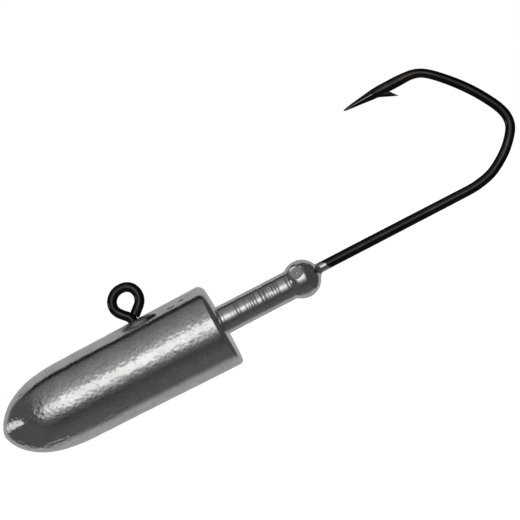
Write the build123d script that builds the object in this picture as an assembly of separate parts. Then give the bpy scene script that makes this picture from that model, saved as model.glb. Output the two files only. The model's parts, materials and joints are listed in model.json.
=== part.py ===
from build123d import *
import math
import os

# Sea-fishing jig head: one 90-degree jig hook with a lead casting poured round it.
# Frame: +Z is the eye / hook-point side, the nose is toward -X, the hook bend toward +X,
# and the hook lies in the XZ plane. The origin is the centre of the line eye. Millimetres.

# ---------------------------------------------------------------- driving dimensions
WIRE_D = 2.62             # hook wire
EYE_R = 3.50              # centreline radius of the ring eye
EYE_BORE_D = 4.60         # clear hole left by the forming pin inside the eye
EYE_ARC_FROM = 235.0      # ring arc start and end, degrees, 0 toward +X, 90 up
EYE_ARC_TO = -55.0
EYE_END_RUN = 1.95        # straight run of the free end down to the stem
STEM_X = -0.60            # where the stem goes down into the casting
SHANK_Z = -14.80          # axis of the shank, below the eye centre
JIG_BEND_R = 6.00         # the 90-degree bend hidden in the head

HEAD_Z = -15.95           # axis of the bullet head
NOSE_X = -42.40
REAR_X = 19.00            # flat annular shoulder
HEAD_D = 22.20
REAR_FILLET = 1.50
DRAFT = 0.0135            # the body narrows slightly toward the nose
OGIVE_L = 23.30           # length of the curved nose and its two shape exponents
OGIVE_P = 3.18
OGIVE_Q = 1.57

COLLAR_Z = -15.25         # axis of the bait collar and keeper ball
COLLAR_D = 7.50           # over the ridge crests
RIDGE_DEPTH = 0.12
RIDGE_PITCH = 0.78
RIDGES = 23
PLAIN_RUN = 0.70           # plain land beside the shoulder
BALL_X = 41.60
BALL_D = 9.80
GATE_D = 3.60             # flat round gate mark on the ball
GATE_DIR = (-0.18, -0.89, 0.41)
SKIRT_END_X = 47.70       # tapered lead skirt where the wire leaves the ball
SKIRT_END_R = 1.50

BEND_START_X = 88.50      # end of the straight shank
SPEAR_Z = 17.62           # axis of the spear
SPEAR_START_X = 86.70
SPEAR_TAPER_X = 79.80     # where the needle point begins
SPEAR_R = 1.41
POINT_X = 70.10           # tip of the point
BARB_TIP = (84.15, 14.25)
BARB_ROOT_X = 79.40
BARB_NOTCH = (82.60, 16.20)
BARB_THICK = 1.10

r = WIRE_D / 2


def P(x, z):
    return Vector(x, 0, z)


def deg(a):
    return math.radians(a)


# ---------------------------------------------------------------- jig hook
# Centreline, from the free end of the eye round the ring, down the stem, through the
# hidden bend and along the shank.
a_to = deg(EYE_ARC_TO)
ring_end = P(EYE_R * math.cos(a_to), EYE_R * math.sin(a_to))
run_dir = (math.sin(a_to), -math.cos(a_to))
free_end = P(ring_end.X + EYE_END_RUN * run_dir[0], ring_end.Z + EYE_END_RUN * run_dir[1])
a_fr = deg(EYE_ARC_FROM)
ring_start = P(EYE_R * math.cos(a_fr), EYE_R * math.sin(a_fr))
ring_top = P(0, EYE_R)

# the bend from the ring down into the stem is an arc tangent to the ring at its start
# and to the vertical at its foot; its radius places the stem at STEM_X
bend_r = (STEM_X - ring_start.X) / (1 - math.cos(deg(EYE_ARC_FROM - 180.0)))
bend_cx = ring_start.X + bend_r * math.cos(a_fr)
bend_cz = ring_start.Z + bend_r * math.sin(a_fr)
stem_top = P(bend_cx + bend_r, bend_cz)
a_mid = deg((EYE_ARC_FROM - 180.0) / 2)
bend_mid = P(bend_cx + bend_r * math.cos(a_mid), bend_cz + bend_r * math.sin(a_mid))
stem_x = stem_top.X
stem_foot = P(stem_x, SHANK_Z + JIG_BEND_R)
jig_mid = P(stem_x + JIG_BEND_R * (1 - math.cos(deg(45))), SHANK_Z + JIG_BEND_R * (1 - math.sin(deg(45))))
shank_start = P(stem_x + JIG_BEND_R, SHANK_Z)
shank_end = P(BEND_START_X, SHANK_Z)

free_run = Line(free_end, ring_end)
ring_arc = ThreePointArc(ring_end, ring_top, ring_start)
eye_bend = ThreePointArc(ring_start, bend_mid, stem_top)
stem = Line(stem_top, stem_foot)
jig_bend = ThreePointArc(stem_foot, jig_mid, shank_start)
shank = Line(shank_start, shank_end)

front_path = Wire([free_run, ring_arc, eye_bend, stem, jig_bend, shank])
start_dir = Vector(ring_end.X - free_end.X, 0, ring_end.Z - free_end.Z).normalized()
front = sweep(Plane(origin=free_end, z_dir=start_dir) * Circle(r), path=front_path)

# sickle bend: straight rise away from the shank, tight lower corner, long slanted back,
# tight crown and a spear that runs back parallel to the shank
bend_pts = [
    (BEND_START_X, SHANK_Z), (92.35, -14.48), (95.25, -13.80), (98.42, -12.30), (101.70, -9.95),
    (104.12, -7.42), (105.45, -5.30), (105.85, -3.27), (105.57, -1.22), (104.65, 1.12),
    (103.20, 3.75), (101.32, 6.70), (98.87, 9.90), (96.22, 12.87), (93.32, 15.65),
    (91.20, 16.97), (89.25, 17.50), (SPEAR_START_X, SPEAR_Z),
]
bend_curve = Spline([P(x, z) for x, z in bend_pts], tangents=[(1, 0, 0), (-1, 0, 0)])
bend = sweep(Plane(origin=shank_end, z_dir=(1, 0, 0)) * Circle(r), path=Wire([bend_curve]))

# spear and needle point: turned about the spear axis
point_profile = [
    (SPEAR_START_X, 0), (SPEAR_START_X, r), (SPEAR_START_X - 1.6, SPEAR_R),
    (SPEAR_TAPER_X, SPEAR_R), (77.80, 1.22), (75.80, 1.00), (73.80, 0.74), (71.80, 0.42),
    (POINT_X, 0.05), (POINT_X, 0),
]
point_face = make_face(Polyline([P(x, SPEAR_Z + rr) for x, rr in point_profile], close=True))
spear = revolve(point_face, axis=Axis((0, 0, SPEAR_Z), (1, 0, 0)), revolution_arc=360)

# barb: a sliver lifted from the shank side of the spear
barb_face = make_face(Polyline([
    P(BARB_ROOT_X, SPEAR_Z - 1.30), P(*BARB_TIP), P(BARB_NOTCH[0] + 0.50, 15.72), P(*BARB_NOTCH),
    P(BARB_NOTCH[0] - 0.5, 17.2), P(BARB_ROOT_X, 17.2),
], close=True))
barb = extrude(barb_face, amount=BARB_THICK / 2, dir=(0, 1, 0), both=True)

hook = front + bend + spear + barb
# the forming pin leaves a narrow cylindrical land round the inside of the eye
land = Plane(origin=(0, 3, 0), z_dir=(0, -1, 0)) * Cylinder(EYE_BORE_D / 2, 12)
hook = hook - land

# ---------------------------------------------------------------- lead head
L = REAR_X - NOSE_X
R = HEAD_D / 2
# ogive: a smooth superellipse nose that runs into a body with a slight draft
def head_radius(t):
    body = R - DRAFT * (L - REAR_FILLET - t)
    if t >= OGIVE_L:
        return body
    return body * (1 - (1 - t / OGIVE_L) ** OGIVE_P) ** (1 / OGIVE_Q)


knots = [0.0, 0.35, 1.4, 3.2, 5.8, 9.2, 13.2, 18.0, OGIVE_L]
ogive = Spline([P(NOSE_X + t, HEAD_Z + head_radius(t)) for t in knots], tangents=[(0, 0, 1), (1, 0, DRAFT)])
top_line = Line(P(NOSE_X + OGIVE_L, HEAD_Z + head_radius(OGIVE_L)), P(REAR_X - REAR_FILLET, HEAD_Z + R))
rim = ThreePointArc(
    P(REAR_X - REAR_FILLET, HEAD_Z + R),
    P(REAR_X - REAR_FILLET * (1 - math.sin(deg(45))), HEAD_Z + R - REAR_FILLET * (1 - math.sin(deg(45)))),
    P(REAR_X, HEAD_Z + R - REAR_FILLET),
)
shoulder = Line(P(REAR_X, HEAD_Z + R - REAR_FILLET), P(REAR_X, HEAD_Z))
axis_line = Line(P(REAR_X, HEAD_Z), P(NOSE_X, HEAD_Z))
head = revolve(make_face(Wire([ogive, top_line, rim, shoulder, axis_line])),
               axis=Axis((0, 0, HEAD_Z), (1, 0, 0)), revolution_arc=360)

# bait collar with fine rings, keeper ball and skirt, all about their own axis
rc = COLLAR_D / 2
rb = BALL_D / 2
pts = [(REAR_X - 4.0, 0.0), (REAR_X - 4.0, rc), (REAR_X + PLAIN_RUN, rc)]
x = REAR_X + PLAIN_RUN
for i in range(RIDGES):
    pts.append((x + RIDGE_PITCH * 0.35, rc - RIDGE_DEPTH))
    pts.append((x + RIDGE_PITCH * 0.65, rc))
    pts.append((x + RIDGE_PITCH, rc))
    x += RIDGE_PITCH
pts += [(BALL_X, rc), (BALL_X, 0.0)]
collar = revolve(make_face(Polyline([P(px, COLLAR_Z + pr) for px, pr in pts], close=True)),
                 axis=Axis((0, 0, COLLAR_Z), (1, 0, 0)), revolution_arc=360)
ball = Pos(BALL_X, 0, COLLAR_Z) * Sphere(rb)
n = Vector(*GATE_DIR).normalized()
gate_h = math.sqrt(rb ** 2 - (GATE_D / 2) ** 2)
gate_cut = Plane(origin=Vector(BALL_X, 0, COLLAR_Z) + n * (gate_h + 1.0), z_dir=n) * Cylinder(GATE_D, 2.0)
ball = ball - gate_cut
skirt_from = BALL_X + math.sqrt(rb ** 2 - 2.2 ** 2)
skirt = revolve(make_face(Polyline([
    P(skirt_from - 2.0, COLLAR_Z), P(skirt_from - 2.0, COLLAR_Z + 2.2), P(skirt_from, COLLAR_Z + 2.2),
    P(skirt_from + 0.55, COLLAR_Z + 1.72), P(SKIRT_END_X, COLLAR_Z + SKIRT_END_R), P(SKIRT_END_X, COLLAR_Z),
], close=True)), axis=Axis((0, 0, COLLAR_Z), (1, 0, 0)), revolution_arc=360)

casting = head + collar + ball + skirt
# the casting is poured round the hook, so its inside is the hook's own shape
casting = casting - hook
solids = sorted(casting.solids(), key=lambda s: -s.volume)
casting = solids[0]

os.makedirs("parts", exist_ok=True)
export_step(hook, "parts/jig_hook.step")
export_step(casting, "parts/lead_head.step")
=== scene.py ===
import json
import math

import bmesh
import bpy
import numpy as np
from mathutils import Matrix, Vector


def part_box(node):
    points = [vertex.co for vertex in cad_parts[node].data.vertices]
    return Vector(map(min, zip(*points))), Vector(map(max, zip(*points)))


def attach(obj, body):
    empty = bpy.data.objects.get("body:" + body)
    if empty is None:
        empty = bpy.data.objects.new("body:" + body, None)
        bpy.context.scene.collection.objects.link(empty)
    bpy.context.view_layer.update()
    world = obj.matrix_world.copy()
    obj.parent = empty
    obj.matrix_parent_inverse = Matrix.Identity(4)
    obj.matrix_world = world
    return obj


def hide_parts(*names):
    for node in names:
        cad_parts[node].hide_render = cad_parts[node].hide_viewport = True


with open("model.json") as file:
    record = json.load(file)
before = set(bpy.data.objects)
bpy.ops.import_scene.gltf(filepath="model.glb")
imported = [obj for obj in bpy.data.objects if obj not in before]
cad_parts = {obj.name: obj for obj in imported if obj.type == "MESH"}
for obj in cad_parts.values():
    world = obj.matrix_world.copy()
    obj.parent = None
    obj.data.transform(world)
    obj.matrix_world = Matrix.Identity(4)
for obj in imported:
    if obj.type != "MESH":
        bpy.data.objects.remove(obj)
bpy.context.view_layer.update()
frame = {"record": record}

MM = 0.001

# ------------------------------------------------------------------ places, from the frame (mm)
head_lo, head_hi = [np.array(v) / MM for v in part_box("lead_head")]
hook_lo, hook_hi = [np.array(v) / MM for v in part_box("jig_hook")]
mounts = {m["name"]: m for m in frame["record"]["mounts"]}
NOSE_X = head_lo[0]
SKIRT_X = head_hi[0]
HEAD_R = (head_hi[1] - head_lo[1]) / 2
HEAD_Z = head_lo[2] + HEAD_R
REAR_X = mounts["bait_shoulder"]["pos_m"][0] / MM
COLLAR_Z = mounts["bait_collar"]["pos_m"][2] / MM
COLLAR_R = 3.75
BALL_X, BALL_R = 41.60, 4.90
SHANK_Z = -14.80
WIRE_R = 1.31
FILLET = 1.50
DRAFT, OGIVE_L, OGIVE_P, OGIVE_Q = 0.0135, 23.30, 3.18, 1.57


# ------------------------------------------------------------------ repeatable 3-D value noise
def _hash(ix, iy, iz, seed):
    n = (ix * 374761393 + iy * 668265263 + iz * 2147483647 + seed * 1274126177) & 0xFFFFFFFF
    n = ((n ^ (n >> 13)) * 1274126177) & 0xFFFFFFFF
    n = ((n ^ (n >> 16)) * 2246822519) & 0xFFFFFFFF
    return ((n ^ (n >> 15)) & 0xFFFF) / 32767.5 - 1.0


def vnoise(p, size, seed=0):
    """Smooth noise in [-1, 1] at points p (mm), with features about size mm across."""
    q = np.asarray(p, float) / size
    i = np.floor(q).astype(np.int64)
    f = q - i
    f = f * f * f * (f * (f * 6 - 15) + 10)
    out = np.zeros(len(q))
    for dx in (0, 1):
        for dy in (0, 1):
            for dz in (0, 1):
                w = (f[:, 0] if dx else 1 - f[:, 0]) * (f[:, 1] if dy else 1 - f[:, 1]) * (f[:, 2] if dz else 1 - f[:, 2])
                out += w * _hash(i[:, 0] + dx, i[:, 1] + dy, i[:, 2] + dz, seed)
    return out


def smooth(a, b, x):
    t = np.clip((x - a) / (b - a), 0, 1)         # a may be the larger, for a falling step
    return t * t * (3 - 2 * t)


def new_object(name, verts_mm, faces, mats, face_mat=None, flat_faces=()):
    me = bpy.data.meshes.new(name)
    me.from_pydata([tuple(v) for v in (np.asarray(verts_mm) * MM).tolist()], [], faces)
    me.polygons.foreach_set("use_smooth", [True] * len(me.polygons))
    for m in mats:
        me.materials.append(m)
    if face_mat is not None:
        me.polygons.foreach_set("material_index", list(face_mat))
    me.update()
    ob = bpy.data.objects.new(name, me)
    bpy.context.collection.objects.link(ob)
    return ob


# ------------------------------------------------------------------ materials
def material(name):
    m = bpy.data.materials.new(name)
    m.use_nodes = True
    nt = m.node_tree
    return m, nt, nt.nodes["Principled BSDF"]


def node(nt, kind, **kw):
    n = nt.nodes.new(kind)
    for k, v in kw.items():
        if k.startswith("in_"):
            key = k[3:]
            key = int(key) if key.isdigit() else key.replace("_", " ")
            n.inputs[key].default_value = v
        else:
            setattr(n, k, v)
    return n


def ramp(nt, fac, stops):
    r = nt.nodes.new("ShaderNodeValToRGB")
    e = r.color_ramp.elements
    while len(e) < len(stops):
        e.new(0.5)
    for el, (pos, col) in zip(e, stops):
        el.position = pos
        el.color = (*col, 1) if len(col) == 3 else col
    nt.links.new(fac, r.inputs[0])
    return r


def mathn(nt, op, a, b=None, c=None, clamp=False):
    n = nt.nodes.new("ShaderNodeMath")
    n.operation = op
    n.use_clamp = clamp
    for i, v in enumerate((a, b, c)):
        if v is None:
            continue
        if isinstance(v, (int, float)):
            n.inputs[i].default_value = v
        else:
            nt.links.new(v, n.inputs[i])
    return n.outputs[0]


def noise_tex(nt, vec, scale, detail=4.0, rough=0.55, dist=0.0):
    n = node(nt, "ShaderNodeTexNoise", in_Scale=scale, in_Detail=detail, in_Roughness=rough, in_Distortion=dist)
    nt.links.new(vec, n.inputs["Vector"])
    return n.outputs["Fac"]


def lead_material(name, grain, rough_lo, rough_hi):
    """Bright plating over cast lead. grain is how strongly the cast skin shows through it."""
    m, nt, bsdf = material(name)
    L = nt.links
    co = nt.nodes.new("ShaderNodeTexCoord").outputs["Object"]
    bsdf.inputs["Metallic"].default_value = 1.0
    # colour: bright plating, duller cloudy areas, dark pin pits and faint warm stains
    clouds = noise_tex(nt, co, 260.0, 5.0, 0.6)
    c1 = ramp(nt, clouds, [(0.30, (0.63, 0.635, 0.64)), (0.62, (0.77, 0.775, 0.78))])
    speck = noise_tex(nt, co, 2100.0, 3.0, 0.6)
    dark = ramp(nt, speck, [(0.31, (0.30, 0.30, 0.30)), (0.41, (1, 1, 1))])
    stain = noise_tex(nt, co, 120.0, 3.0, 0.5)
    warm = ramp(nt, stain, [(0.52, (1, 1, 1)), (0.75, (0.93, 0.90, 0.83))])
    mix1 = node(nt, "ShaderNodeMix", data_type="RGBA", blend_type="MULTIPLY")
    mix1.inputs["Factor"].default_value = 0.80 * grain
    L.new(c1.outputs[0], mix1.inputs["A"])
    L.new(dark.outputs[0], mix1.inputs["B"])
    mix2 = node(nt, "ShaderNodeMix", data_type="RGBA", blend_type="MULTIPLY")
    mix2.inputs["Factor"].default_value = 0.8
    L.new(mix1.outputs["Result"], mix2.inputs["A"])
    L.new(warm.outputs[0], mix2.inputs["B"])
    L.new(mix2.outputs["Result"], bsdf.inputs["Base Color"])
    # roughness: patches of bare casting skin between smooth plating
    rn = noise_tex(nt, co, 900.0, 5.0, 0.65)
    rr = ramp(nt, rn, [(0.35, (rough_lo,) * 3), (0.68, (rough_hi,) * 3)])
    # dull halo where flux has burnt round the foot of the eye
    off = node(nt, "ShaderNodeVectorMath", operation="DISTANCE")
    L.new(co, off.inputs[0])
    off.inputs[1].default_value = (-0.0006, 0.0, -0.0049)
    halo = ramp(nt, mathn(nt, "MULTIPLY", off.outputs["Value"], 100.0), [(0.45, (0.42,) * 3), (0.85, (0, 0, 0))])
    L.new(mathn(nt, "MAXIMUM", rr.outputs[0], halo.outputs[0]), bsdf.inputs["Roughness"])
    # bump: crystalline grain of the casting, two sizes
    g1 = noise_tex(nt, co, 2800.0, 1.0, 0.5)
    g2 = noise_tex(nt, co, 1600.0, 1.0, 0.5)
    s = mathn(nt, "ADD", mathn(nt, "MULTIPLY", g1, 0.80), mathn(nt, "MULTIPLY", g2, 1.0))
    b = node(nt, "ShaderNodeBump", in_Strength=1.0, in_Distance=0.000018 * grain)
    L.new(s, b.inputs["Height"])
    L.new(b.outputs[0], bsdf.inputs["Normal"])
    return m


def nickel_material(name, lo, mid, hi, rough):
    """Black nickel plating: dark, glossy, faintly brown where it has worn."""
    m, nt, bsdf = material(name)
    L = nt.links
    co = nt.nodes.new("ShaderNodeTexCoord").outputs["Object"]
    bsdf.inputs["Metallic"].default_value = 1.0
    cl = noise_tex(nt, co, 240.0, 5.0, 0.6)
    col = ramp(nt, cl, [(0.30, lo), (0.52, mid), (0.72, hi)])
    L.new(col.outputs[0], bsdf.inputs["Base Color"])
    bsdf.inputs["Specular Tint"].default_value = (0.22, 0.22, 0.24, 1)
    rn = noise_tex(nt, co, 1300.0, 4.0, 0.6)
    rr = ramp(nt, rn, [(0.35, (rough,) * 3), (0.70, (rough + 0.09,) * 3)])
    L.new(rr.outputs[0], bsdf.inputs["Roughness"])
    g = noise_tex(nt, co, 1500.0, 3.0, 0.6)
    b = node(nt, "ShaderNodeBump", in_Strength=0.7, in_Distance=0.000016)
    L.new(g, b.inputs["Height"])
    L.new(b.outputs[0], bsdf.inputs["Normal"])
    return m


mat_cast = lead_material("plated_lead_cast_skin", 1.0, 0.025, 0.10)
mat_bright = lead_material("plated_lead_bright", 0.30, 0.03, 0.09)
mat_hook = nickel_material("black_nickel_wire", (0.032, 0.032, 0.037), (0.050, 0.048, 0.049), (0.085, 0.074, 0.062), 0.08)
mat_point = nickel_material("black_nickel_ground_point", (0.50, 0.50, 0.52), (0.65, 0.65, 0.67), (0.80, 0.80, 0.81), 0.30)


# ------------------------------------------------------------------ lead casting
def head_radius(t):
    length = REAR_X - NOSE_X
    body = HEAD_R - DRAFT * (length - FILLET - t)
    if t >= OGIVE_L:
        return body
    return body * (1 - (1 - t / OGIVE_L) ** OGIVE_P) ** (1 / OGIVE_Q)


def lead_head():
    N = 320
    ang = 2 * math.pi * np.arange(N) / N        # 0 toward +Z, quarter turn toward -Y (the near side)
    cosA, one = np.cos(ang), np.ones(N)
    rows = []                                   # x, r, centre z (each an array), zone

    def row(x, r, cz, zone):
        rows.append((x * one, r * one, cz * one, zone * one))

    # nose and body (zone 0), stepped evenly along the arc
    t, ts = 0.004, []
    while t < REAR_X - NOSE_X - 2.30:
        ts.append(t)
        slope = (head_radius(t + 1e-3) - head_radius(t)) / 1e-3
        t += 0.21 / math.sqrt(1 + slope * slope)
    for t in ts:
        row(NOSE_X + t, head_radius(t), HEAD_Z, 0)
    # rounded rim: larger on the top and sides than underneath; the shoulder leans back a little at the top
    rf = 1.15 + 0.80 * smooth(-1.0, -0.25, cosA)
    lean = -0.030
    for k in range(0, 17):
        a = math.radians(90 - 90 * k / 16)
        r = HEAD_R - rf + rf * math.sin(a)
        row(REAR_X + lean * r * cosA - rf + rf * math.cos(a), r, HEAD_Z, 0)
    # flat shoulder (zone 1) down to a small root fillet (zone 2)
    r_in = COLLAR_R + 0.28
    r_out = HEAD_R - rf
    for k in range(1, 26):
        f = k / 25
        r = r_out + (r_in - r_out) * f
        row(REAR_X + lean * r * cosA * (1 - f), r, HEAD_Z + (COLLAR_Z - HEAD_Z) * f, 1)
    for k in range(1, 7):
        a = math.radians(90 * k / 6)
        row(REAR_X + 0.28 * (1 - math.cos(a)), r_in - 0.28 * math.sin(a), COLLAR_Z, 2)
    # collar (zone 2)
    x0 = REAR_X + 0.28
    join = BALL_X - math.sqrt(BALL_R ** 2 - COLLAR_R ** 2)
    for x in np.arange(x0 + 0.06, join - 0.30, 0.06):
        row(x, COLLAR_R, COLLAR_Z, 2)
    # keeper ball (zone 3) and the skirt and thin film of lead that runs out along the wire (zone 4)
    a0 = math.pi - math.asin((COLLAR_R + 0.10) / BALL_R)
    a1 = math.asin(1.95 / BALL_R)
    for k in range(0, 110):
        a = a0 + (a1 - a0) * k / 109
        row(BALL_X + BALL_R * math.cos(a), BALL_R * math.sin(a), COLLAR_Z, 3)
    xb = BALL_X + BALL_R * math.cos(a1)
    film = WIRE_R + 0.07
    for dx_, r, f in [(0.06, 1.86, 0.1), (0.15, 1.76, 0.2), (0.28, 1.66, 0.4), (0.45, 1.56, 0.6), (0.65, 1.49, 0.8),
                      (0.85, film + 0.03, 0.95)]:
        row(xb + dx_, r, COLLAR_Z + (SHANK_Z - COLLAR_Z) * f, 4)
    for x in np.arange(xb + 1.0, 49.9, 0.09):
        row(x, film, SHANK_Z, 4)
    X, Rr, CZ, Z_ = [np.concatenate([r_[i] for r_ in rows]) for i in range(4)]
    n = len(rows)
    A = np.tile(ang, n)
    dirY, dirZ = -np.sin(A), np.cos(A)
    P = np.stack([X, Rr * dirY, CZ + Rr * dirZ], 1)
    Xg, Rg = X.reshape(n, N), Rr.reshape(n, N)
    dx, dr = np.gradient(Xg, axis=0).ravel(), np.gradient(Rg, axis=0).ravel()
    ln = np.hypot(dx, dr) + 1e-9
    NRM = np.stack([-dr / ln, dx / ln * dirY, dx / ln * dirZ], 1)
    line = np.stack([X, X * 0, X * 0], 1)
    low = np.degrees(np.arctan2(-(P[:, 2] - HEAD_Z), -P[:, 1]))      # angle below the near side

    # cast skin of the head, cut inward: slow undulation, dimples and crystalline grain
    head = Z_ == 0
    fade = smooth(0.0, 1.5, Rr) * (1 - 0.85 * smooth(REAR_X - 2.4, REAR_X - 1.6, X))
    calm = 1 - 0.45 * smooth(-15.0, -9.0, X) * smooth(2.0, 12.0, low) * (1 - smooth(75, 95, low))
    calm = calm * (1 - 0.30 * smooth(-28.5, -26.5, X) * smooth(26, 36, low) * (1 - smooth(80, 95, low)))
    calm = calm * (1 - 0.60 * smooth(-30, -42, low) * (1 - smooth(-80, -95, low)))
    calm = calm * (1 - 0.55 * smooth(-30.5, -33.5, X) * smooth(-25, 0, low))
    calm = calm * (1 + 1.7 * smooth(-34, -24, low) * smooth(10, 0, low) + 0.9 * smooth(-24, -34, low) * smooth(-46, -40, low))
    und = 0.024 * vnoise(P, 9.0, 1) + 0.016 * vnoise(P, 3.4, 2)
    gr = 0.006 * vnoise(P, 0.95, 3) + 0.009 * vnoise(P, 0.58, 4) + 0.007 * vnoise(P, 0.42, 9)
    pits = -0.04 * smooth(0.66, 0.88, vnoise(P, 1.3, 5)) - 0.022 * smooth(0.62, 0.80, vnoise(P, 0.7, 10))
    d = np.where(head, (und + gr * calm + 0.35 * pits * np.minimum(calm, 1) - 0.012) * fade, 0.0)
    # pitted patch low on the nose, where the mould was vented
    patch = smooth(-41.0, -39.0, X) * (1 - smooth(-29.4, -28.6, X)) * smooth(36, 44, low) * (1 - smooth(80, 95, low))
    d += np.where(head, patch * (0.030 * vnoise(P, 1.25, 31) - 0.05 * smooth(0.20, 0.45, vnoise(P, 0.95, 32))), 0)
    # mould parting line in the hook's plane: a low, uneven flash, and a tiny step between the halves
    side = smooth(1.0, 5.0, Rr)
    flash = (0.035 + 0.03 * vnoise(line + 7.0, 2.2, 6)) * np.exp(-(P[:, 1] / 0.16) ** 2)
    d += np.where(head, (flash + 0.012 * np.tanh(P[:, 1] / 0.12)) * side, 0)
    d += np.where((Z_ == 2) | (Z_ == 3), 0.2 * flash, 0)
    # lead drawn up in a thin skin round the foot of the eye
    q = np.hypot((P[:, 0] + 0.6) / 1.35, P[:, 1])
    top = dirZ > 0.5
    d += np.where(head & top, 0.05 * np.exp(-((q - 1.35) / 0.55) ** 2) * (1 + 0.5 * vnoise(P, 0.9, 8))
                  - 0.010 * np.exp(-((q - 2.55) / 0.30) ** 2), 0)
    # chips and dings: x, angle low, half length, half height, depth, skew
    for cx, ca, hl, hh, dep, sk in [(-30.3, 45.0, 2.2, 0.22, 0.11, 0.0), (-27.25, 52.5, 0.32, 1.9, 0.13, 0.06),
                                    (-9.35, 31.0, 0.16, 0.95, 0.10, 0.25), (-16.2, 45.0, 1.3, 0.20, 0.08, 0.0),
                                    (-12.5, 40.0, 1.6, 0.24, 0.06, 0.15), (12.6, -62.5, 0.9, 0.45, 0.10, 0.5),
                                    (9.6, -59.0, 1.2, 0.22, 0.08, -0.35), (14.2, -66.0, 0.5, 0.6, 0.08, 0.4),
                                    (-38.7, 30.0, 0.5, 0.5, 0.06, 0.2), (-33.5, -55.0, 0.6, 0.4, 0.06, 0.4),
                                    (-31.0, -62.0, 0.8, 0.3, 0.05, -0.3), (4.0, 25.0, 0.35, 0.3, 0.04, 0.1),
                                    (-2.0, -8.0, 0.5, 0.9, 0.03, 0.9), (10.5, -10.0, 0.25, 1.3, 0.035, 0.7),
                                    (12.0, -14.0, 0.25, 1.1, 0.03, 0.8)]:
        u = (P[:, 0] - cx) / hl
        v = (np.radians(low - ca) * Rr) / hh
        uu = u - sk * v * hh / hl
        m_ = (1 - smooth(0.70, 1.1, np.abs(uu))) * (1 - smooth(0.70, 1.1, np.abs(v)))
        d += np.where(head, -dep * m_, 0)
    # shoulder: faint turning marks
    d += np.where(Z_ == 1, 0.006 * np.sin(Rr * 9.0) + 0.010 * vnoise(P, 3.0, 11) - 0.01, 0)
    # collar rings: pitch and depth wander, as worn mould tool marks do, and fade towards the shoulder
    col = (Z_ == 2) & (X > x0)
    ph = (X - REAR_X) / 0.78 + 0.25 * vnoise(line, 1.9, 12) + 0.05 * vnoise(P, 2.0, 13)
    dep = np.clip(0.066 + 0.055 * vnoise(line, 0.9, 14) + 0.020 * vnoise(P, 1.1, 18), 0.012, 0.12)
    dep = dep * (0.40 + 0.60 * smooth(REAR_X + 1.5, REAR_X + 5.0, X)) * smooth(join - 0.15, join - 0.7, X)
    d += np.where(col, -dep * (1 - np.abs(np.sin(math.pi * ph))) * 1.1 - 0.006 + 0.007 * vnoise(P, 0.7, 15), 0)
    # ball: smooth in front, rougher over the top; skirt and film: wrinkled, with a ragged end
    ball = Z_ == 3
    up = smooth(-0.1, 0.75, dirZ * np.where(Rr > 0, 1, 0))
    d += np.where(ball, 0.016 * vnoise(P, 2.6, 16) + 0.004 * vnoise(P, 0.8, 17) - 0.016
                  + up * (0.020 * vnoise(P, 0.75, 19) + 0.014 * vnoise(P, 0.45, 20)), 0)
    skirt = Z_ == 4
    reach = 49.25 - 1.9 * smooth(0.1, 0.95, dirZ) + 0.45 * vnoise(np.stack([A * 0, np.cos(A), np.sin(A)], 1) * 1.3, 0.5, 33)
    d += np.where(skirt, 0.022 * vnoise(P, 0.8, 34) - 0.25 * smooth(reach - 0.35, reach + 0.1, X), 0)
    P = P + NRM * d[:, None]

    P[:, 2] = np.maximum(P[:, 2], HEAD_Z - HEAD_R + 0.004)
    P[:, 1] = np.clip(P[:, 1], -HEAD_R + 0.004, HEAD_R - 0.004)

    # round gate mark on the ball: a flat disc with faint rings, a raised lip below and a centre pip
    g = np.array([-0.14, -0.86, 0.50]); g /= np.linalg.norm(g)
    c = np.array([BALL_X, 0, COLLAR_Z])
    rel = P - c
    h = rel @ g
    flat_h = math.sqrt(BALL_R ** 2 - 1.92 ** 2)
    inplane = rel - h[:, None] * g
    rad = np.linalg.norm(inplane, axis=1)
    downish = smooth(0.2, -0.8, inplane[:, 2] / (rad + 1e-6))
    inside = ball & (h > flat_h - 0.05) & (rad < 2.7)
    level = flat_h - 0.15 * (1 - smooth(1.50, 1.80, rad)) + 0.012 * np.cos(rad * 11.0) * (1 - smooth(1.3, 1.5, rad))
    level = level + 0.09 * downish * np.exp(-((rad - 1.90) / 0.13) ** 2) + 0.12 * np.exp(-(rad / 0.20) ** 2)
    level = level + 0.006 * vnoise(P, 0.5, 35)
    newh = np.where(inside & (h > level), level, h)
    P = P + (newh - h)[:, None] * g * inside[:, None]

    faces, fm = [], []
    zone = [r_[3][0] for r_ in rows]
    for i in range(n - 1):
        z = 0 if zone[i] == 0 and i < len(ts) else 1
        a, b = i * N, (i + 1) * N
        for j in range(N):
            k = (j + 1) % N
            faces.append((a + j, b + j, b + k, a + k))
            fm.append(z)
    tip = len(P)
    P = np.vstack([P, [[NOSE_X + 0.06, 0, HEAD_Z], [rows[-1][0][0], 0, SHANK_Z]]])
    for j in range(N):
        k = (j + 1) % N
        faces.append((tip, j, k))
        fm.append(0)
        e = (n - 1) * N
        faces.append((tip + 1, e + k, e + j))
        fm.append(1)
    return new_object("lead_head_casting", P, faces, [mat_cast, mat_bright], fm)


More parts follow.
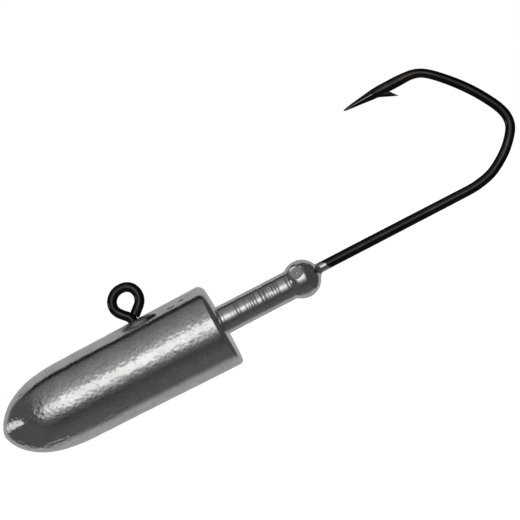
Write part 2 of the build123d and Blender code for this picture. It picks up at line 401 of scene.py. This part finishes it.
# ------------------------------------------------------------------ jig hook
def cubic(points, step):
    """Points on a natural cubic spline through the given points, evenly about step apart."""
    p = np.array(points, float)
    t = np.concatenate([[0], np.cumsum(np.hypot(*np.diff(p, axis=0).T) ** 0.5)])
    n = len(p)
    M = np.zeros((n, n))
    R = np.zeros((n, 2))
    h = np.diff(t)
    M[0, 0] = M[-1, -1] = 1
    for i in range(1, n - 1):
        M[i, i - 1], M[i, i], M[i, i + 1] = h[i - 1], 2 * (h[i - 1] + h[i]), h[i]
        R[i] = 6 * ((p[i + 1] - p[i]) / h[i] - (p[i] - p[i - 1]) / h[i - 1])
    m = np.linalg.solve(M, R)
    out = []
    for i in range(n - 1):
        for s in np.linspace(0, 1, 60, endpoint=False):
            x = s * h[i]
            out.append(p[i] + x * ((p[i + 1] - p[i]) / h[i] - h[i] * (2 * m[i] + m[i + 1]) / 6) + x * x * m[i] / 2
                       + x ** 3 * (m[i + 1] - m[i]) / (6 * h[i]))
    out.append(p[-1])
    out = np.array(out)
    s = np.concatenate([[0], np.cumsum(np.hypot(*np.diff(out, axis=0).T))])
    k = np.append(np.arange(0, s[-1], step), s[-1])
    return np.stack([np.interp(k, s, out[:, 0]), np.interp(k, s, out[:, 1])], 1)


def jig_hook():
    q = 0.25
    # ring eye, from just above its free end round to the stem
    eye = [(4.9, -13.0), (8.5, -9.9), (11.5, -6.6), (13.4, -2.6), (14.0, 1.4), (13.5, 5.0), (11.6, 9.2),
           (8.6, 12.0), (4.8, 13.6), (0.0, 14.0), (-4.8, 13.1), (-8.9, 10.7), (-12.2, 7.1), (-14.0, 2.5), (-14.0, -2.2),
           (-12.2, -6.4), (-9.4, -9.9), (-6.7, -12.7), (-4.2, -15.9), (-2.8, -19.6), (-2.4, -24.0), (-2.4, -28.0)]
    eye = [(x * q, z * q) for x, z in eye]
    stem = [(-0.6, z) for z in (-7.6, -8.2, -8.8)]
    jb = [(-0.6 + 6 * (1 - math.cos(math.radians(a))), SHANK_Z + 6 * (1 - math.sin(math.radians(a))))
          for a in (15, 30, 45, 60, 75, 90)]
    front_pts = cubic(eye + stem + jb, 0.22)
    shank = [(x, SHANK_Z) for x in np.arange(front_pts[-1][0] + 0.6, 88.0, 0.6)]
    back = [(88.00, -14.80), (90.2, -14.73), (92.35, -14.46), (95.25, -13.78), (98.42, -12.25), (101.70, -9.90),
            (104.12, -7.40), (105.45, -5.30), (105.85, -3.27), (105.57, -1.22), (104.65, 1.12),
            (103.20, 3.75), (101.32, 6.70), (98.87, 9.90), (96.22, 12.87), (93.32, 15.65),
            (91.20, 16.97), (89.25, 17.50), (86.70, 17.62), (84.0, 17.62), (81.5, 17.60), (79.0, 17.55), (76.5, 17.48),
            (74.0, 17.42), (71.8, 17.33), (70.2, 17.27)]
    path = np.vstack([front_pts, shank, cubic(back, 0.22)])
    keep = [0]
    for i in range(1, len(path)):
        if np.hypot(*(path[i] - path[keep[-1]])) > 0.05:
            keep.append(i)
    path = path[keep]
    n = len(path)
    s = np.concatenate([[0], np.cumsum(np.hypot(*np.diff(path, axis=0).T))])
    T = np.gradient(path, axis=0)
    T /= np.linalg.norm(T, axis=1)[:, None]
    Nn = np.stack([-T[:, 1], T[:, 0]], 1)
    x, z = path[:, 0], path[:, 1]
    i_sh = int(np.argmin(np.abs(x - 20) + 100 * (np.abs(z - SHANK_Z) > 0.5)))
    after = np.arange(n) > i_sh
    # half thickness in the hook's plane (a) and across it (b): forged flatter through the bend
    key_s, key_a, key_b = [0.0, 9.0, 18.0], [1.29, 1.24, 1.25], [1.26, 1.24, 1.25]

    def key(cond, a, b):
        key_s.append(s[int(np.argmax(cond))])
        key_a.append(a)
        key_b.append(b)

    key(after & (x > -0.7), 1.31, 1.31)
    key(after & (x > 60), 1.32, 1.32)
    key(after & (x > 86), 1.28, 1.28)
    key(after & (x > 95), 1.26, 1.16)
    key(after & (z > -3), 1.26, 1.12)
    key(after & (z > 8), 1.25, 1.12)
    key(after & (z > 14), 1.17, 1.12)
    key(after & (z > 16.9), 1.16, 1.12)
    key(after & (z > 15) & (x < 88.6), 1.25, 1.10)
    key(after & (z > 15) & (x < 85.5), 1.39, 1.08)
    key(after & (z > 15) & (x < 80.5), 1.37, 1.06)
    for xx, a in [(79.0, 1.30), (78.0, 1.19), (77.0, 1.07), (76.0, 0.95), (75.0, 0.84), (74.0, 0.72), (73.0, 0.60),
                  (72.0, 0.46), (71.0, 0.30), (70.45, 0.14)]:
        key(after & (z > 15) & (x < xx), a, a * 0.80)
    order = np.argsort(key_s)
    ks, ka, kb = np.array(key_s)[order], np.array(key_a)[order], np.array(key_b)[order]
    a, b = np.interp(s, ks, ka), np.interp(s, ks, kb)
    a[-1] = b[-1] = 0.02
    tip_zone = after & (z > 15)
    expo = np.where(tip_zone, 2.0 - 0.80 * smooth(81.0, 77.5, x), 2.0)
    M = 56
    ph = 2 * math.pi * np.arange(M) / M
    cc, ss = np.cos(ph), np.sin(ph)
    rings = []
    for i in range(n):
        e = 2.0 / expo[i]
        u = a[i] * np.sign(cc) * np.abs(cc) ** e
        v = b[i] * np.sign(ss) * np.abs(ss) ** e
        rings.append(np.stack([path[i, 0] + u * Nn[i, 0], -v, path[i, 1] + u * Nn[i, 1]], 1))
    V = np.vstack(rings)
    # unevenness of wire and plating; stronger on the eye and stem, where it was formed and gripped
    rel = V - np.repeat(np.stack([x, x * 0, z], 1), M, 0)
    rl = np.linalg.norm(rel, axis=1)[:, None] + 1e-9
    eye_w = np.repeat(smooth(8.0, 4.0, x) * (z > -7) * (0.10 + 0.90 * smooth(1.0, -2.5, z)), M)
    k = 0.006 * vnoise(V, 1.6, 21) + 0.003 * vnoise(V, 0.6, 22) + eye_w * (0.020 * vnoise(V, 1.0, 23) + 0.008 * vnoise(V, 0.5, 24))
    k = k * np.repeat(np.clip(a, 0, 1), M)
    V = V + rel / rl * (k - 0.006 * np.repeat(np.clip(a, 0, 1), M))[:, None]
    # free end of the eye: runs straight on and stops just short of the stem, cut to follow it
    near_stem = (x < 1) & (z < -2.0) & (z > -6.0) & (np.arange(n) > 60)
    edge = path[near_stem] - Nn[near_stem] * a[near_stem][:, None]
    if edge[:, 0].mean() < path[near_stem][:, 0].mean():
        edge = path[near_stem] + Nn[near_stem] * a[near_stem][:, None]
    order = np.argsort(edge[:, 1])
    ez, ex = edge[order, 1], edge[order, 0]
    go = -T[0]
    steps = np.arange(0, 3.2, 0.02)
    centre = path[0] + steps[:, None] * go
    V0 = V[:M]
    run = []
    for j in list(range(M)) + [None]:
        px = (V0[j, 0] if j is not None else path[0, 0]) + steps * go[0]
        pz = (V0[j, 2] if j is not None else path[0, 1]) + steps * go[1]
        gap = 0.02 + 0.12 * smooth(-3.8, -4.5, pz)
        hit = (px < np.interp(pz, ez, ex) + gap) | (pz < HEAD_Z + HEAD_R - 0.06)
        run.append(steps[int(np.argmax(hit))] if hit.any() else steps[-1])
    run = np.array(run)
    ext = []
    for i in range(8, 0, -1):
        r_ = V0.copy()
        r_[:, 0] += go[0] * run[:M] * i / 8
        r_[:, 2] += go[1] * run[:M] * i / 8
        ext.append(r_)
    V = np.vstack(ext + [V])
    n += 8
    xs_all = np.concatenate([[-50.0] * 8, x])
    faces, fm = [], []
    for i in range(n - 1):
        for j in range(M):
            kk = (j + 1) % M
            faces.append((i * M + j, (i + 1) * M + j, (i + 1) * M + kk, i * M + kk))
            ground = tip_zone[max(i - 8, 0)] and i > 8 and 70.6 < xs_all[i] < 78.4 and abs(j - M // 4) <= 2
            fm.append(1 if ground else 0)
    c0 = len(V)
    cap = [path[0, 0] + go[0] * run[M], 0, path[0, 1] + go[1] * run[M]]
    V = np.vstack([V, [cap, [path[-1, 0] + T[-1, 0] * 0.06, 0, path[-1, 1] + T[-1, 1] * 0.06]]])
    for j in range(M):
        kk = (j + 1) % M
        faces.append((c0, j, kk))
        faces.append((c0 + 1, (n - 1) * M + kk, (n - 1) * M + j))
        fm += [0, 0]

    # barb: a wedge lifted from the inner side of the spear
    st = np.concatenate([np.linspace(79.3, 82.4, 14), np.linspace(82.55, 84.13, 12)])
    mb = 20
    bv = []
    for xx in st:
        lo_z = np.interp(xx, [79.3, 80.6, 82.2, 84.13], [16.30, 15.78, 15.08, 14.28])
        hi_z = np.interp(xx, [79.3, 82.35, 82.65, 83.1, 84.13], [17.2, 17.2, 16.26, 15.70, 14.38])
        f = min((xx - 79.3) / 4.85, 1.0)
        hw = 0.66 * (1 - f) ** 0.7 + 0.03
        cz, hh = (lo_z + hi_z) / 2, (hi_z - lo_z) / 2
        for j in range(mb):
            p = 2 * math.pi * j / mb
            e = 2.0 / 1.7
            cu = np.sign(math.cos(p)) * abs(math.cos(p)) ** e
            sv = np.sign(math.sin(p)) * abs(math.sin(p)) ** e
            bv.append((xx, -sv * hw, cz + cu * hh))
    base, nb = len(V), len(st)
    V = np.vstack([V, bv])
    for i in range(nb - 1):
        for j in range(mb):
            kk = (j + 1) % mb
            faces.append((base + i * mb + j, base + i * mb + kk, base + (i + 1) * mb + kk, base + (i + 1) * mb + j))
            fm.append(0)
    faces.append(tuple(base + j for j in range(mb - 1, -1, -1)))
    faces.append(tuple(base + (nb - 1) * mb + j for j in range(mb)))
    fm += [0, 0]
    return new_object("jig_hook_wire", V, faces, [mat_hook, mat_point], fm)


head = lead_head()
hook = jig_hook()
for ob, node_name, slot_name in ((head, "lead_head", "plated_lead"), (hook, "jig_hook", "black_nickel_wire")):
    bm = bmesh.new()
    bm.from_mesh(ob.data)
    bmesh.ops.recalc_face_normals(bm, faces=bm.faces)
    bm.to_mesh(ob.data)
    bm.free()
    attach(ob, "root")
    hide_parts(node_name)

# ------------------------------------------------------------------ camera
ROLL = math.radians(27.46)
DIST = 0.400
aim = Vector((0.034503, 0, -0.006192))
cam_data = bpy.data.cameras.new("camera")
cam_data.sensor_width = 36.0
cam_data.lens = 36.0 * (DIST / 0.00025) / 520.0
cam_data.clip_start = 0.01
cam_data.clip_end = 50
cam = bpy.data.objects.new("camera", cam_data)
bpy.context.collection.objects.link(cam)
back = Vector((0, -1, 0))
r0 = Vector((1, 0, 0))
u0 = Vector((0, 0, 1))
right = math.cos(ROLL) * r0 - math.sin(ROLL) * u0
up = math.sin(ROLL) * r0 + math.cos(ROLL) * u0
m = Matrix.Identity(4)
for i in range(3):
    m[i][0], m[i][1], m[i][2] = right[i], up[i], back[i]
m.translation = aim + back * DIST
cam.matrix_world = m
bpy.context.scene.camera = cam

# ------------------------------------------------------------------ floor
fm = bpy.data.meshes.new("floor")
fz = head_lo[2] * MM
fm.from_pydata([(-6, -6, fz), (6, -6, fz), (6, 6, fz), (-6, 6, fz)], [], [(0, 1, 2, 3)])
floor = bpy.data.objects.new("floor", fm)
bpy.context.collection.objects.link(floor)
mf, nt, bsdf = material("pale_floor")
bsdf.inputs["Base Color"].default_value = (0.80, 0.80, 0.79, 1)
bsdf.inputs["Roughness"].default_value = 0.9
bsdf.inputs["Emission Color"].default_value = (1, 1, 1, 1)
bsdf.inputs["Emission Strength"].default_value = 0.93
fm.materials.append(mf)
floor.visible_glossy = False
floor.visible_shadow = False

# ------------------------------------------------------------------ plain soft studio light
# Neutral greys only: one long softbox in front, a pale sheet behind and below, grey walls between,
# and a soft panel past the nose. Nothing is coloured and every light falls on the whole object.
SOFTBOX, WALL_HI, WALL_LO, SHEET, GAP = 1.15, 0.28, 0.09, 0.40, 0.02
world = bpy.data.worlds.new("studio")
bpy.context.scene.world = world
world.use_nodes = True
nt = world.node_tree
nt.nodes.clear()
L = nt.links
tc = nt.nodes.new("ShaderNodeTexCoord")
sep = nt.nodes.new("ShaderNodeSeparateXYZ")
L.new(tc.outputs["Generated"], sep.inputs[0])
dx, dy, dz = sep.outputs
beta = mathn(nt, "ARCTAN2", dz, mathn(nt, "MULTIPLY", dy, -1.0))
t = mathn(nt, "MULTIPLY_ADD", beta, 1 / (2 * math.pi), 0.5)


def pos(deg):
    return (deg + 180.0) / 360.0


def grey(v):
    return (v, v, v)


def mixc(fac, a, b):
    n = node(nt, "ShaderNodeMix", data_type="RGBA", blend_type="MIX")
    L.new(fac, n.inputs["Factor"])
    for key, v in (("A", a), ("B", b)):
        if isinstance(v, tuple):
            n.inputs[key].default_value = (*v, 1)
        else:
            L.new(v, n.inputs[key])
    return n.outputs["Result"]


def step(x, a, b):
    n = nt.nodes.new("ShaderNodeMapRange")
    n.interpolation_type = "SMOOTHSTEP"
    n.inputs["From Min"].default_value = a
    n.inputs["From Max"].default_value = b
    L.new(x, n.inputs["Value"])
    return n.outputs["Result"]


round_axis = [(-180, SHEET), (-112, SHEET), (-92, 1.3 * WALL_LO), (-60, 1.1 * WALL_LO), (-32, 0.7 * WALL_LO), (-18, 1.6 * WALL_LO), (-4, 0.5 * SOFTBOX), (6, SOFTBOX),
              (20, SOFTBOX), (32, 0.4 * SOFTBOX), (50, WALL_HI), (90, 0.5 * WALL_HI), (99, GAP), (107, GAP),
              (113, SHEET), (180, SHEET)]
col = ramp(nt, t, [(pos(d), grey(v)) for d, v in round_axis]).outputs[0]
# the softbox and walls end in darker grey past the nose and past the bend
col = mixc(step(dx, -0.30, -0.65), col, grey(WALL_LO))
col = mixc(step(dx, 0.22, 0.55), col, grey(0.8 * WALL_LO))
panel = mathn(nt, "MULTIPLY", step(dx, -0.84, -0.92), mathn(nt, "MULTIPLY", step(dz, 0.05, 0.15), step(dz, 0.42, 0.30)))
col = mixc(panel, col, grey(0.9))
col = mixc(step(dy, 0.36, 0.55), col, grey(SHEET))
bg1 = nt.nodes.new("ShaderNodeBackground")
L.new(col, bg1.inputs[0])
bg2 = nt.nodes.new("ShaderNodeBackground")
bg2.inputs[0].default_value = (1, 1, 1, 1)
bg2.inputs[1].default_value = 1.0
lp = nt.nodes.new("ShaderNodeLightPath")
mx = nt.nodes.new("ShaderNodeMixShader")
out = nt.nodes.new("ShaderNodeOutputWorld")
L.new(lp.outputs["Is Camera Ray"], mx.inputs[0])
L.new(bg1.outputs[0], mx.inputs[1])
L.new(bg2.outputs[0], mx.inputs[2])
L.new(mx.outputs[0], out.inputs[0])

bpy.context.scene.view_settings.view_transform = "Standard"
